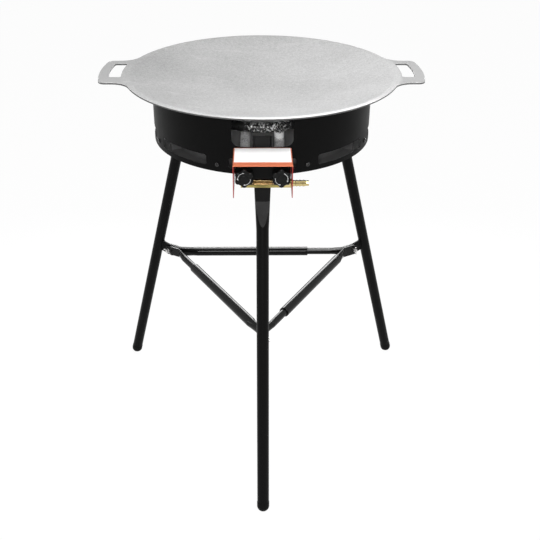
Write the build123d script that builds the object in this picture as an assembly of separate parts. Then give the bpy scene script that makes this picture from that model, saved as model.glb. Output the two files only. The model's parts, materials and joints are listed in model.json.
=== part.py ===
"""Griddle pan on a ring burner: drum wind shield, red control shield, tripod with telescoping braces.

Millimetres, +Z up, the feet stand on z = 0 and -Y is the front with the knobs.
Pieces are made about the drum's axis and moved along Y as they are saved,
so that the origin lies under the middle of the whole outfit.
"""

import os
from math import atan2, cos, degrees, hypot, radians, sin, sqrt, tan

from build123d import *

# Griddle pan: one pressed dish with a flat rim and two loop handles
pan_radius = 282.0
pan_wall = 4.0
pan_depth = 34.0
rim_width = 11.0
handle_reach = 51.0
handle_length = 152.0
handle_corner = 14.0
handle_root = 40.0
handle_bar = 20.5
hand_hole_inset = 5.5
hand_hole_length = 92.0
hand_hole_shift = 8.0
hand_hole_corner = 5.0
edge_round = 1.4

# Drum wind shield
drum_floor = 707.0
drum_radius = 226.6
drum_wall = 1.5
drum_height = 110.0
exhaust_gap = 8.5
vent_count = 8
vent_angle = 33.0
vent_rise = 10.0
vent_height = 21.0
vent_corner = 4.0
window_width = 117.0
window_sill = 0.5
window_corner = 14.0

# Bottom plate inside the drum, with upturned tabs for the drum screws
plate_lift = 1.0
plate_thick = 2.0
plate_gap = 0.1
tab_width = 26.0
tab_height = 24.0
drum_screw_rise = 15.0
screw_radius = 2.5
screw_head_radius = 4.4
screw_head_height = 2.6
screw_length = 7.0
screw_fit = 0.1

# Burner rings, mixing tubes and the arms under them
gas_pipe_radius = 10.0
gas_pipe_wall = 2.0
ring_bracket_gap = 9.6
inner_ring_radius = 106.0
ring_pass_gap = 2.0
ring_gap_angle = 48.0
ring_end_wall = 3.0
port_pitch = 20.0
port_radius = 1.5
cope_gap = 0.05
mouth_radius = 14.0
mouth_wall = 2.0
mouth_straight = 4.0
mouth_taper = 18.0
rise_length = 40.0
rise_bend = 30.0
pipe_clearance = 1.0
pipe_bolt_gap = 0.95
arm_thick = 4.0
arm_bar_height = 12.0
cradle_half_width = 9.0
cradle_drop = 4.0
rest_wall_gap = 13.1
rest_width = 12.0
seat_gap = 0.3

# Tripod legs
foot_circle = 396.3
leg_inset = 28.4
leg_radius = 12.5
leg_wall = 1.5
pin_rise = 28.0
leg_top = 35.0
flat_width = 32.5
flat_thick = 10.0
flat_length = 64.0
flat_taper = 84.0
crease_drop = 92.0
crease_run = 50.0
pin_radius = 3.0
pin_fit = 0.05
pin_head_radius = 5.5
pin_head_height = 3.5
pin_tail = 0.8
ear_gap = 0.5
ear_wall = 2.0
ear_lip = 3.0
web_rise = 4.0
stop_gap = 0.1
leg_slot_margin = 1.5
leg_slot_play = 6.0

# Foot caps
cap_wall = 0.6
cap_centre_height = 8.7
cap_skirt = 9.0
cap_plug_length = 18.0
cap_plug_gap = 0.1

# Brace tabs, braces, corner bolts and wing nuts
brace_tab_height = 27.0
brace_tab_thick = 4.0
brace_bolt_inset = 35.0
brace_tab_margin = 14.0
brace_meet_radius = 240.0
outer_brace_radius = 11.0
outer_brace_wall = 2.5
inner_brace_wall = 1.5
brace_slide_gap = 0.3
brace_travel_room = 54.6
brace_overlap = 130.0
brace_flat_thick = 4.0
outer_flat_height = 26.0
inner_flat_height = 22.0
outer_brace_taper = 42.0
inner_brace_taper = 32.0
flat_gap = 0.1
brace_bolt_radius = 3.0
brace_hole_fit = 0.1
open_pivot_fit = 0.5
bolt_head_radius = 5.8
bolt_head_height = 4.0
bolt_tail = 3.0
nut_fit = 0.05
nut_hub_radius = 5.0
nut_hub_height = 7.0
wing_reach = 10.5
wing_bend_gap = 11.35
wing_height = 9.0
wing_thick = 2.2

# Control shield, label plate and control plate
control_rise = 28.0
shield_rise = 55.5
shield_depth = 85.0
cheek_gap = 0.8
shield_sheet = 1.5
fold_radius = 2.0
cheek_height = 63.5
shield_standoff = 0.1
ear_width = 30.0
ear_height = 19.0
ear_screw_spacing = 18.0
ear_screw_drop = 11.0
label_thick = 0.4
label_margin = 0.3
label_back_margin = 2.5
label_front_margin = 16.5
panel_setback = 27.0
panel_height = 36.0
panel_side_gap = 3.0
panel_flange = 16.0
panel_screw_spacing = 60.0
panel_screw_inset = 9.0
panel_screw_radius = 2.0
panel_screw_head_radius = 3.8
panel_screw_head_height = 2.2
panel_screw_length = 6.0

# Gas cocks, knobs, manifold and hose tail
cock_width = 20.0
cock_length = 24.5
neck_radius = 6.0
neck_length = 4.5
neck_fit = 0.1
neck_nut_flats = 17.0
neck_nut_thick = 3.0
cock_plug_radius = 4.5
cock_plug_fit = 0.05
cock_plug_length = 23.0
cock_floor = 6.0
spindle_radius = 3.0
spindle_fit = 0.05
spindle_engaged = 12.0
spindle_room = 4.0
spindle_length = 25.0
knob_radius = 18.2
knob_lobes = 6
knob_lobe_radius = 5.5
knob_core_radius = 15.2
knob_length = 20.0
knob_gap = 4.0
knob_recess_radius = 11.5
knob_recess_depth = 7.0
knob_cap_radius = 7.0
knob_cap_height = 1.2
knob_edge = 3.0
press_gap = 0.02
jet_radius = 5.0
jet_length = 9.0
jet_tip_radius = 2.6
jet_tip_length = 4.0
jet_bore = 0.6
manifold_flats = 14.5
manifold_overhang = 7.0
manifold_setback = 41.0
manifold_drop = 25.0
manifold_bore = 4.0
manifold_end_wall = 3.5
port_bore = 2.0
cock_stub_radius = 5.0
tail_collar_length = 14.0
tail_hole_gap = 0.8
barb_count = 4
barb_pitch = 6.5
barb_radius = 6.5
barb_root_radius = 5.2
barb_tip_length = 5.0
tail_bore = 3.5

# Azimuths are turned from the front, counter-clockwise seen from above
leg_places = {"front": 0.0, "right": 120.0, "left": -120.0}
wing_sides = {"front": 1, "right": -1, "left": 1}
wing_turns = {"front": 0.0, "right": 100.0, "left": -10.0}
brace_places = {"front_left": 0.0, "front_right": 120.0, "rear": -120.0}
arm_places = {"right": 60.0, "rear": 180.0, "left": -60.0}
hand_signs = {"left": -1, "right": 1}

# Heights worked out from the sizes above
drum_top = drum_floor + drum_height
drum_inside = drum_radius - drum_wall
plate_top = drum_floor + plate_lift + plate_thick
pipe_height = drum_floor + control_rise
inner_ring_height = pipe_height + 2 * gas_pipe_radius + ring_pass_gap
shield_top = drum_floor + shield_rise
window_low = shield_top + window_sill

# The dish is part of a sphere that meets the flat rim
dish_radius = pan_radius - rim_width
dish_sphere = (dish_radius**2 + pan_depth**2) / (2 * pan_depth)
under_sphere = dish_sphere + pan_wall
sphere_height = drum_top + exhaust_gap + sqrt(under_sphere**2 - drum_radius**2)
rim_top = sphere_height + pan_depth - dish_sphere
handle_radius = pan_radius + handle_reach

# The legs splay from the drum to the feet and turn on pins inside the drum
leg_circle = drum_radius - leg_inset
splay = degrees(atan2(foot_circle - leg_circle, drum_floor))
pin_height = drum_floor + pin_rise
pin_circle = foot_circle - pin_height * tan(radians(splay))
leg_frame = Plane(
    origin=(0, -pin_circle, pin_height),
    x_dir=(1, 0, 0),
    z_dir=(0, sin(radians(splay)), cos(radians(splay))),
).location
leg_reach = pin_height / cos(radians(splay))
cap_radius = leg_radius + cap_wall
cap_centre = leg_reach - cap_centre_height / cos(radians(splay))
leg_end = cap_centre - cap_skirt

# The outer ring fits inside the brackets, the pan's posts inside the drum
ear_outside = flat_width / 2 + ear_gap + ear_wall
bracket_depth = flat_thick / 2 + stop_gap + ear_wall
ring_above_pin = pipe_height + gas_pipe_radius - pin_height
bracket_inside = (
    pin_circle - bracket_depth / cos(radians(splay)) - ring_above_pin * tan(radians(splay))
)
outer_ring_radius = bracket_inside - ring_bracket_gap - gas_pipe_radius
rest_high = drum_inside - rest_wall_gap
rest_low = rest_high - rest_width

# The corner bolts lie outside the braces' meeting points, and the tabs sit on the legs to suit
bolt_circle = brace_meet_radius + wing_reach + wing_bend_gap
brace_tab_drop = (
    bolt_circle - pin_circle + brace_bolt_inset * cos(radians(splay))
) / sin(radians(splay))
brace_height = (
    pin_height - brace_tab_drop * cos(radians(splay)) - brace_bolt_inset * sin(radians(splay))
)
inner_brace_radius = outer_brace_radius - outer_brace_wall - brace_slide_gap
brace_half = brace_meet_radius * sin(radians(60))
brace_frame = Plane(
    origin=(-brace_half / 2, -brace_meet_radius / 4, brace_height),
    x_dir=(-cos(radians(60)), sin(radians(60)), 0),
    z_dir=(0, 0, 1),
).location
flat_offset = brace_tab_thick / 2 + flat_gap + brace_flat_thick / 2
stack_half = flat_offset + brace_flat_thick / 2
inner_round_end = brace_half - 2 * flat_offset - inner_brace_taper
outer_brace_mouth = inner_round_end - brace_travel_room

# Places along X of the control group: the mixing tubes pass on both sides of the front pivot bolt
pivot_bolt_end = ear_outside + pin_head_height + pin_tail
cock_spacing = 2 * (pivot_bolt_end + pipe_bolt_gap + gas_pipe_radius)
shield_width = cock_spacing + 2 * (knob_radius + cheek_gap + shield_sheet)
manifold_length = cock_spacing + 2 * manifold_overhang

# Places along Y of the control group, measured from the drum's front
shield_back = -drum_radius - shield_standoff
shield_front = shield_back - shield_depth
panel_front = shield_front + panel_setback
panel_back = panel_front + shield_sheet
cock_back = panel_back + cock_length
neck_front = panel_back - shield_sheet - neck_length
knob_back = panel_front - knob_gap
knob_front = knob_back - knob_length
jet_end = cock_back + jet_length + jet_tip_length
mouth_front = jet_end - jet_tip_length / 2
manifold_place = shield_front + manifold_setback
manifold_height = pipe_height - manifold_drop

# The front foot reaches furthest forward and the pan furthest back
front_reach = foot_circle - cap_centre_height * tan(radians(splay)) + cap_radius
axis_place = (front_reach - pan_radius) / 2


def save(name, *solids):
    """Move one node's solids so that the outfit is centred on the origin, and write them."""
    placed = [solid.moved(Location((0, axis_place, 0))) for solid in solids]
    shape = placed[0] if len(placed) == 1 else Compound(children=placed)
    export_step(shape, f"parts/{name}.step")


def rod_x(radius, low, high, y, z):
    return Pos((low + high) / 2, y, z) * Rot(0, 90, 0) * Cylinder(radius, high - low)


def rod_y(radius, low, high, x, z):
    return Pos(x, (low + high) / 2, z) * Rot(90, 0, 0) * Cylinder(radius, high - low)


def rod_z(radius, low, high, x=0, y=0):
    return Pos(x, y, (low + high) / 2) * Cylinder(radius, high - low)


def block(x_low, x_high, y_low, y_high, z_low, z_high):
    middle = ((x_low + x_high) / 2, (y_low + y_high) / 2, (z_low + z_high) / 2)
    return Pos(*middle) * Box(x_high - x_low, y_high - y_low, z_high - z_low)


def turned(solid, azimuth):
    return Rot(0, 0, azimuth) * solid


def under_pan(radius):
    """Height of the pan's underside at a distance from the axis."""
    return sphere_height - sqrt(under_sphere**2 - radius**2)


def dish():
    middle = dish_radius / 2
    dish_low = sphere_height - dish_sphere
    under_low = sphere_height - under_sphere
    under_edge = sqrt(under_sphere**2 - (sphere_height - rim_top + pan_wall) ** 2)
    middle_top = sphere_height - sqrt(dish_sphere**2 - middle**2)
    rim_seam = dish_radius + rim_width / 2
    outline = [
        ThreePointArc((0, dish_low), (middle, middle_top), (dish_radius, rim_top)),
        Line((dish_radius, rim_top), (rim_seam, rim_top)),
        Line((rim_seam, rim_top), (rim_seam, rim_top - pan_wall)),
        Line((rim_seam, rim_top - pan_wall), (under_edge, rim_top - pan_wall)),
        ThreePointArc(
            (under_edge, rim_top - pan_wall), (middle, under_pan(middle)), (0, under_low)
        ),
        Line((0, under_low), (0, dish_low)),
    ]
    return revolve(Plane.XZ * make_face(outline), Axis.Z)


def rim_outline():
    """The flat rim with both handles, as one sheet outline."""
    arms = Circle(handle_radius) & Rectangle(2 * handle_radius, handle_length)
    sheet = Circle(pan_radius) + arms
    middle = pan_radius + handle_reach / 2
    sheet = fillet(sheet.vertices().filter_by(lambda v: hypot(v.X, v.Y) > middle), handle_corner)
    sheet = fillet(sheet.vertices().filter_by(lambda v: hypot(v.X, v.Y) < middle), handle_root)
    loop = Circle(handle_radius - handle_bar) - Circle(pan_radius + hand_hole_inset)
    holes = loop & Pos(0, hand_hole_shift) * Rectangle(2 * handle_radius, hand_hole_length)
    holes = fillet(holes.vertices(), hand_hole_corner)
    return sheet - holes - Circle(dish_radius)


def griddle_pan():
    rim = extrude(Pos(0, 0, rim_top - pan_wall) * rim_outline(), pan_wall)
    level = rim.edges().filter_by(lambda e: abs(e.tangent_at(0).Z) < 0.5)
    outside = level.filter_by(lambda e: hypot((e @ 0.5).X, (e @ 0.5).Y) > dish_radius + edge_round)
    return fillet(outside, edge_round) + dish()


def vent_cutter():
    chord = 2 * drum_radius * sin(radians(vent_angle / 2))
    slot = Plane.XZ * RectangleRounded(chord, vent_height, vent_corner)
    depth = drum_radius * (1 - cos(radians(vent_angle / 2))) + 2 * drum_wall
    middle = drum_floor + vent_rise + vent_height / 2
    return Pos(0, -drum_radius + depth, middle) * extrude(slot, 2 * depth)


def window_cutter():
    """Cut-out in the front of the drum, open at the top and round at its lower corners."""
    opening = Rectangle(window_width, 2 * (drum_top - window_low))
    low = opening.vertices().group_by(Axis.Y)[0]
    opening = fillet(low, window_corner)
    return Pos(0, -drum_radius / 2, drum_top) * extrude(Plane.XZ * opening, drum_radius)


def drum_screw_angles():
    pitch = 360 / vent_count
    return [pitch * (count + 0.5) for count in range(vent_count)]


def drum_screw_holes(radius):
    hole = rod_y(radius, -2 * drum_radius, -drum_radius / 2, 0, drum_floor + drum_screw_rise)
    return [turned(hole, angle) for angle in drum_screw_angles()]


def ear_screw_holes(radius):
    height = shield_top - ear_screw_drop
    places = (-ear_screw_spacing / 2, ear_screw_spacing / 2)
    return [rod_y(radius, shield_front, -drum_radius / 2, x, height) for x in places]


def wind_shield():
    middle = drum_floor + drum_height / 2
    drum = Pos(0, 0, middle) * Cylinder(drum_radius, drum_height)
    drum = drum - Pos(0, 0, middle) * Cylinder(drum_inside, drum_height)
    cutters = [turned(vent_cutter(), 360 / vent_count * count) for count in range(vent_count)]
    cutters.append(window_cutter())
    pipe_hole = mouth_radius + pipe_clearance
    for sign in hand_signs.values():
        x = sign * cock_spacing / 2
        cutters.append(rod_y(pipe_hole, -2 * drum_radius, -drum_radius / 2, x, pipe_height))
    cutters += drum_screw_holes(screw_radius + screw_fit)
    cutters += ear_screw_holes(panel_screw_radius + screw_fit)
    return drum - cutters


def leg_slot():
    """Opening in the bottom plate that a leg passes and swings through."""
    half_thick = flat_thick / 2 / cos(radians(splay))
    level = drum_floor + plate_lift + plate_thick / 2
    axis_radius = foot_circle - level * tan(radians(splay))
    lean = plate_thick * tan(radians(splay))
    outside = axis_radius + half_thick + lean + leg_slot_margin
    inside = axis_radius - half_thick - lean - leg_slot_margin - leg_slot_play
    half_width = flat_width / 2 + ear_gap
    return block(-half_width, half_width, -outside, -inside, drum_floor, plate_top + plate_thick)


def bottom_plate():
    radius = drum_inside - plate_gap
    plate = rod_z(radius, drum_floor + plate_lift, plate_top)
    face = sqrt(radius**2 - (tab_width / 2) ** 2)
    tab_low = drum_floor + plate_lift
    tab_top = plate_top + tab_height
    tab = block(-tab_width / 2, tab_width / 2, -face, -face + plate_thick, tab_low, tab_top)
    plate = plate + [turned(tab, angle) for angle in drum_screw_angles()]
    plate = plate - [turned(leg_slot(), azimuth) for azimuth in leg_places.values()]
    return plate - drum_screw_holes(screw_radius + screw_fit)


def pan_head_screw(radius, head_radius, head_height, length):
    """Screw along +Y from the underside of its head at the origin."""
    head = rod_y(head_radius, -head_height, 0, 0, 0)
    head = fillet(head.edges().sort_by(Axis.Y)[0], head_height * 0.6)
    return head + rod_y(radius, -head_height / 2, length, 0, 0)


def drum_screws():
    screw = pan_head_screw(screw_radius, screw_head_radius, screw_head_height, screw_length)
    screw = Pos(0, -drum_radius, drum_floor + drum_screw_rise) * screw
    return [turned(screw, angle) for angle in drum_screw_angles()]


def ring_pipe(radius, height, gap):
    """Bent gas pipe about the axis, open by a gap at the front with closed ends, or whole."""
    def bent(pipe_radius, arc):
        section = Plane.XZ * Pos(radius, height) * Circle(pipe_radius)
        return turned(revolve(section, Axis.Z, arc), -90 + (360 - arc) / 2)

    end_angle = degrees(ring_end_wall / radius) if gap else 0
    arc = 360 - gap
    return bent(gas_pipe_radius, arc) - bent(gas_pipe_radius - gas_pipe_wall, arc - 2 * end_angle)


def ring_ports(radius, height, gap):
    arc = 360 - gap
    count = round(radians(arc) * radius / port_pitch)
    port = rod_z(port_radius, height, height + 2 * gas_pipe_radius, 0, -radius)
    return [turned(port, gap / 2 + arc * (place + 0.5) / count) for place in range(count)]


def outer_burner_ring():
    pipe = ring_pipe(outer_ring_radius, pipe_height, ring_gap_angle)
    return pipe - ring_ports(outer_ring_radius, pipe_height, ring_gap_angle)


def inner_burner_ring():
    pipe = ring_pipe(inner_ring_radius, inner_ring_height, 0)
    return pipe - ring_ports(inner_ring_radius, inner_ring_height, 0)


def ring_cope(radius, height, arc=360):
    """Space that a ring takes up, from the right side round by the rear."""
    section = Plane.XZ * Pos(radius, height) * Circle(gas_pipe_radius + cope_gap)
    return revolve(section, Axis.Z, arc)


def mixing_pipe(x, end):
    """Straight gas pipe along Y with the flared air mouth at its front."""
    inside = gas_pipe_radius - gas_pipe_wall
    straight = mouth_front + mouth_straight
    throat = straight + mouth_taper
    bell_inside = mouth_radius - mouth_wall
    outline = Polyline(
        (mouth_radius, mouth_front),
        (mouth_radius, straight),
        (gas_pipe_radius, throat),
        (gas_pipe_radius, end),
        (inside, end),
        (inside, throat),
        (bell_inside, straight),
        (bell_inside, mouth_front),
        close=True,
    )
    return Pos(x, 0, pipe_height) * revolve(make_face(outline), Axis.Y)


def outer_mixing_tube():
    x = -cock_spacing / 2
    whole = mixing_pipe(x, sqrt(outer_ring_radius**2 - x**2))
    ring = ring_cope(outer_ring_radius, pipe_height, 180)
    return (whole - ring).solids().sort_by(SortBy.VOLUME)[-1]


def inner_mixing_tube():
    x = cock_spacing / 2
    ring_place = -sqrt(inner_ring_radius**2 - x**2)
    bend_place = ring_place - rise_length
    joint = bend_place - rise_length / 2
    path = FilletPolyline(
        (x, joint, pipe_height),
        (x, bend_place, pipe_height),
        (x, ring_place, inner_ring_height),
        radius=rise_bend,
    )
    start = Plane(origin=path @ 0, z_dir=path % 0)
    rise = sweep(start * Circle(gas_pipe_radius), path)
    bore = sweep(start * Circle(gas_pipe_radius - gas_pipe_wall), path)
    whole = mixing_pipe(x, joint) + (rise - bore)
    ring = ring_cope(inner_ring_radius, inner_ring_height)
    return (whole - ring).solids().sort_by(SortBy.VOLUME)[-1]


def burner_arm():
    """Upright plate that cradles both rings and carries the pan on its outer post."""
    bar_top = plate_top + arm_bar_height
    inner_low = inner_ring_radius - cradle_half_width
    inner_high = inner_ring_radius + cradle_half_width
    outer_low = outer_ring_radius - cradle_half_width
    outer_high = outer_ring_radius + cradle_half_width
    outline = Polyline(
        (inner_low, plate_top),
        (inner_low, inner_ring_height - cradle_drop),
        (inner_high, inner_ring_height - cradle_drop),
        (inner_high, bar_top),
        (outer_low, bar_top),
        (outer_low, pipe_height - cradle_drop),
        (outer_high, pipe_height - cradle_drop),
        (outer_high, bar_top),
        (rest_low, bar_top),
        (rest_low, under_pan(rest_low) - seat_gap),
        (rest_high, under_pan(rest_high) - seat_gap),
        (rest_high, plate_top),
        close=True,
    )
    plate = extrude(Plane.XZ * make_face(outline), arm_thick / 2, both=True)
    plate = plate - ring_cope(inner_ring_radius, inner_ring_height)
    plate = plate - ring_cope(outer_ring_radius, pipe_height)
    return turned(plate, -90)


def pivot_hole(half_length):
    return rod_x(pin_radius + pin_fit, -half_length, half_length, 0, 0)


def leg_bracket():
    """Two ears and a stop web around the leg's flattened end, standing on the bottom plate."""
    ear_inside = ear_outside - ear_wall
    web_face = flat_thick / 2 + stop_gap
    low = -2 * pin_rise
    ear = block(ear_inside, ear_outside, -web_face - ear_lip, bracket_depth, low, leg_top)
    web = block(-ear_outside, ear_outside, web_face, bracket_depth, pin_radius + web_rise, leg_top)
    bracket = ear + mirror(ear, Plane.YZ) + web - pivot_hole(2 * ear_outside)
    below = block(-drum_radius, drum_radius, -2 * drum_radius, 0, drum_floor - drum_height, plate_top)
    return leg_frame * bracket - below


def hexagon(flats):
    return RegularPolygon(flats / 2, 6, major_radius=False)


def pivot_bolt():
    """Bolt through the bracket's ears and the leg, with its nut."""
    head_flats = 2 * pin_head_radius * cos(radians(30))
    across = Plane.YZ * hexagon(head_flats)
    head = Pos(-ear_outside - pin_head_height, 0, 0) * extrude(across, pin_head_height)
    bolt = head + rod_x(pin_radius, -ear_outside - pin_head_height / 2, pivot_bolt_end, 0, 0)
    nut = Pos(ear_outside, 0, 0) * extrude(across, pin_head_height)
    nut = nut - rod_x(pin_radius + press_gap, 0, 2 * pivot_bolt_end, 0, 0)
    return [leg_frame * bolt, leg_frame * nut]


def pressing(low):
    """Room left between the press tools: even down to the crease, then opening to the tube's size."""
    half = flat_thick / 2
    slope = (leg_radius - half) / crease_run
    open_half = half + slope * (-crease_drop - low)
    side = Polyline(
        (half, leg_top), (half, -crease_drop), (open_half, low),
        (-open_half, low), (-half, -crease_drop), (-half, leg_top), (half, leg_top),
    )
    return extrude(Plane.YZ * make_face(side), flat_width, both=True)


def leg():
    """Round tube pressed flat at its upper end, with a crease and a facet below it, open at the foot."""
    flat_low = -flat_length
    round_top = flat_low - flat_taper
    section = SlotOverall(flat_width, 2 * leg_radius)
    wide = extrude(Pos(0, 0, flat_low) * section, leg_top + flat_length)
    taper = loft([Pos(0, 0, flat_low) * section, Pos(0, 0, round_top) * Circle(leg_radius)])
    flat = (wide + taper) & pressing(round_top)
    tube = rod_z(leg_radius, -leg_end, round_top)
    bore = rod_z(leg_radius - leg_wall, -leg_end, round_top)
    return leg_frame * (flat + tube - bore - pivot_hole(flat_width))


def foot_cap():
    """Rounded plug in the end of the leg, cut flat where it stands on the floor."""
    plug_radius = leg_radius - leg_wall - cap_plug_gap
    cap = Pos(0, 0, -cap_centre) * Sphere(cap_radius)
    cap = cap + rod_z(cap_radius, -cap_centre, -leg_end)
    cap = cap + rod_z(plug_radius, -cap_centre, -leg_end + cap_plug_length)
    below = block(-foot_circle, foot_circle, -2 * foot_circle, 0, -foot_circle, 0)
    return leg_frame * cap - below


def leg_tab():
    """Plate on the inner side of the leg, square to it, coped to the tube."""
    low = -brace_tab_drop - brace_tab_height / 2
    end = brace_bolt_inset + brace_tab_margin
    half = brace_tab_thick / 2
    plate = block(-half, half, 0, end, low, low + brace_tab_height)
    corners = plate.edges().filter_by(Axis.X).group_by(Axis.Y)[-1]
    plate = fillet(corners, brace_tab_height / 4)
    plate = plate - rod_z(leg_radius + cope_gap, 2 * low, 0)
    hole = Pos(0, brace_bolt_inset, -brace_tab_drop) * rod_x(
        brace_bolt_radius + brace_hole_fit, -end, end, 0, 0
    )
    return leg_frame * (plate - hole)


def brace_end(radius, height, taper, hole_radius, mouth_sign):
    """Flattened end of a brace tube at its corner: flat, bend and taper to the round tube.

    The corner lies at -X for mouth_sign 1; the tube runs on towards +X.
    """
    outward = Vector(-sin(radians(60)), cos(radians(60)), 0)
    aside = Vector(cos(radians(60)), sin(radians(60)), 0)
    bend = Vector(-brace_half + 2 * flat_offset, 0, 0)
    flat_plane = Plane(origin=bend, x_dir=outward, z_dir=aside)
    bolt = Vector(-brace_half, 0, 0) + outward * (bolt_circle - brace_meet_radius) + aside * flat_offset
    reach = (bolt - bend).length
    lap = brace_flat_thick / 2 * tan(radians(15))
    flat = Pos((reach - lap) / 2, 0) * Rectangle(reach + lap, height)
    flat = flat + Pos(reach, 0) * Circle(height / 2) - Pos(reach, 0) * Circle(hole_radius)
    plate = extrude(flat_plane * flat, brace_flat_thick / 2, both=True)
    section = Plane.YZ * Rot(0, 0, 90) * SlotOverall(height, brace_flat_thick)
    ring = Plane.YZ * Circle(radius)
    stages = [Pos(bend.X - lap, 0, 0) * section, Pos(bend.X, 0, 0) * section]
    cone = loft(stages + [Pos(bend.X + taper, 0, 0) * ring], ruled=True)
    end = plate + cone
    return end if mouth_sign > 0 else Rot(0, 180, 0) * end


def outer_brace():
    hole = brace_bolt_radius + brace_hole_fit
    end = brace_end(outer_brace_radius, outer_flat_height, outer_brace_taper, hole, 1)
    start = -brace_half + 2 * flat_offset + outer_brace_taper
    tube = rod_x(outer_brace_radius, start, outer_brace_mouth, 0, 0)
    bore = rod_x(outer_brace_radius - outer_brace_wall, start, outer_brace_mouth, 0, 0)
    return brace_frame * (end + tube - bore)


def inner_brace():
    hole = brace_bolt_radius + open_pivot_fit
    end = brace_end(inner_brace_radius, inner_flat_height, inner_brace_taper, hole, -1)
    start = outer_brace_mouth - brace_overlap
    tube = rod_x(inner_brace_radius, start, inner_round_end, 0, 0)
    bore = rod_x(inner_brace_radius - inner_brace_wall, start, inner_round_end, 0, 0)
    return brace_frame * (end + tube - bore)


def corner_place(solid):
    return leg_frame * Pos(0, brace_bolt_inset, -brace_tab_drop) * solid


def corner_bolt(side):
    """Bolt across the tab and both flats; its head is on the other side from the wing nut."""
    flats = 2 * bolt_head_radius * cos(radians(30))
    head = extrude(Plane.YZ * hexagon(flats), bolt_head_height)
    head = Pos(-stack_half - flat_gap - bolt_head_height, 0, 0) * head
    end = stack_half + flat_gap + nut_hub_height + bolt_tail
    bolt = head + rod_x(brace_bolt_radius, -stack_half - bolt_head_height / 2, end, 0, 0)
    return corner_place(bolt if side > 0 else mirror(bolt, Plane.YZ))


def wing_nut(side, turn):
    seat = stack_half + flat_gap
    hub = rod_x(nut_hub_radius, seat, seat + nut_hub_height, 0, 0)
    half = wing_thick / 2
    wings = block(seat + nut_hub_height / 3, seat + wing_height, -wing_reach, wing_reach, -half, half)
    tips = wings.edges().filter_by(Axis.Z)
    wings = Rot(turn, 0, 0) * fillet(tips, wing_height / 4)
    nut = hub + wings - rod_x(brace_bolt_radius + nut_fit, 0, 2 * seat + wing_height, 0, 0)
    return corner_place(nut if side > 0 else mirror(nut, Plane.YZ))


def control_shield():
    """Folded sheet: level top, two hanging cheeks and a screw ear on the drum."""
    half = shield_width / 2
    cheek_low = shield_top - cheek_height
    shell = block(-half, half, shield_front, shield_back, cheek_low, shield_top)
    shell = fillet(shell.edges().filter_by(Axis.Y).group_by(Axis.Z)[-1], fold_radius)
    room = block(
        -half + shield_sheet,
        half - shield_sheet,
        shield_front - shield_sheet,
        shield_back + shield_sheet,
        cheek_low - shield_sheet,
        shield_top - shield_sheet,
    )
    inside = room.edges().filter_by(Axis.Y).group_by(Axis.Z)[-1]
    room = fillet(inside, fold_radius - shield_sheet)
    ear_low = shield_top - ear_height
    ear_front = shield_back - shield_sheet
    ear = block(-ear_width / 2, ear_width / 2, ear_front, shield_back, ear_low, shield_top)
    sheet = shell - room + ear
    tail_radius = manifold_flats / 2 / cos(radians(30)) + tail_hole_gap
    sheet = sheet - rod_x(tail_radius, 0, shield_width, manifold_place, manifold_height)
    sheet = sheet - ear_screw_holes(panel_screw_radius + screw_fit)
    return sheet - panel_screw_holes(panel_screw_radius + screw_fit)


def panel_screw_holes(radius):
    y = panel_back + panel_screw_inset
    low = shield_top - 3 * shield_sheet
    places = (-panel_screw_spacing / 2, panel_screw_spacing / 2)
    return [rod_z(radius, low, shield_top + shield_sheet, x, y) for x in places]


def label_plate():
    half = shield_width / 2 - fold_radius - label_margin
    back = shield_back - label_back_margin
    front = shield_front + label_front_margin
    plate = block(-half, half, front, back, shield_top, shield_top + label_thick)
    return plate - panel_screw_holes(panel_screw_head_radius + screw_fit)


def control_plate():
    """Black plate behind the knobs, hung under the shield by its bent flange."""
    half = shield_width / 2 - shield_sheet - panel_side_gap
    top = shield_top - shield_sheet
    plate = block(-half, half, panel_front, panel_back, top - panel_height, top)
    flange = block(-half, half, panel_front, panel_back + panel_flange, top - shield_sheet, top)
    plate = plate + flange
    for sign in hand_signs.values():
        x = sign * cock_spacing / 2
        plate = plate - rod_y(neck_radius + neck_fit, shield_front, panel_back, x, pipe_height)
    return plate - panel_screw_holes(panel_screw_radius + screw_fit)


def shield_screws():
    """Two screws through the shield's ear into the drum, two down through its top."""
    screw = pan_head_screw(
        panel_screw_radius, panel_screw_head_radius, panel_screw_head_height, panel_screw_length
    )
    height = shield_top - ear_screw_drop
    front = shield_back - shield_sheet
    ear_places = (-ear_screw_spacing / 2, ear_screw_spacing / 2)
    screws = [Pos(x, front, height) * screw for x in ear_places]
    y = panel_back + panel_screw_inset
    down = Rot(-90, 0, 0) * screw
    top_places = (-panel_screw_spacing / 2, panel_screw_spacing / 2)
    return screws + [Pos(x, y, shield_top) * down for x in top_places]


def cock_body(x):
    half = cock_width / 2
    body = block(x - half, x + half, panel_back, cock_back, pipe_height - half, pipe_height + half)
    body = chamfer(body.edges().filter_by(Axis.Y), cock_width / 8)
    body = body + rod_y(neck_radius, neck_front, panel_back + neck_length, x, pipe_height)
    stub_low = manifold_height + manifold_flats / 2
    body = body + rod_z(cock_stub_radius, stub_low, pipe_height, x, manifold_place)
    bore_end = cock_back - cock_floor
    body = body - rod_y(cock_plug_radius + cock_plug_fit, neck_front, bore_end, x, pipe_height)
    body = body - rod_y(port_bore, bore_end - port_bore, cock_back, x, pipe_height)
    return body - rod_z(port_bore, stub_low, pipe_height - cock_plug_radius, x, manifold_place)


def cock_nut(x):
    nut = extrude(Plane.XZ * hexagon(neck_nut_flats), neck_nut_thick)
    nut = Pos(x, panel_front, pipe_height) * nut
    return nut - rod_y(neck_radius + press_gap, neck_front, panel_back, x, pipe_height)


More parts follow.
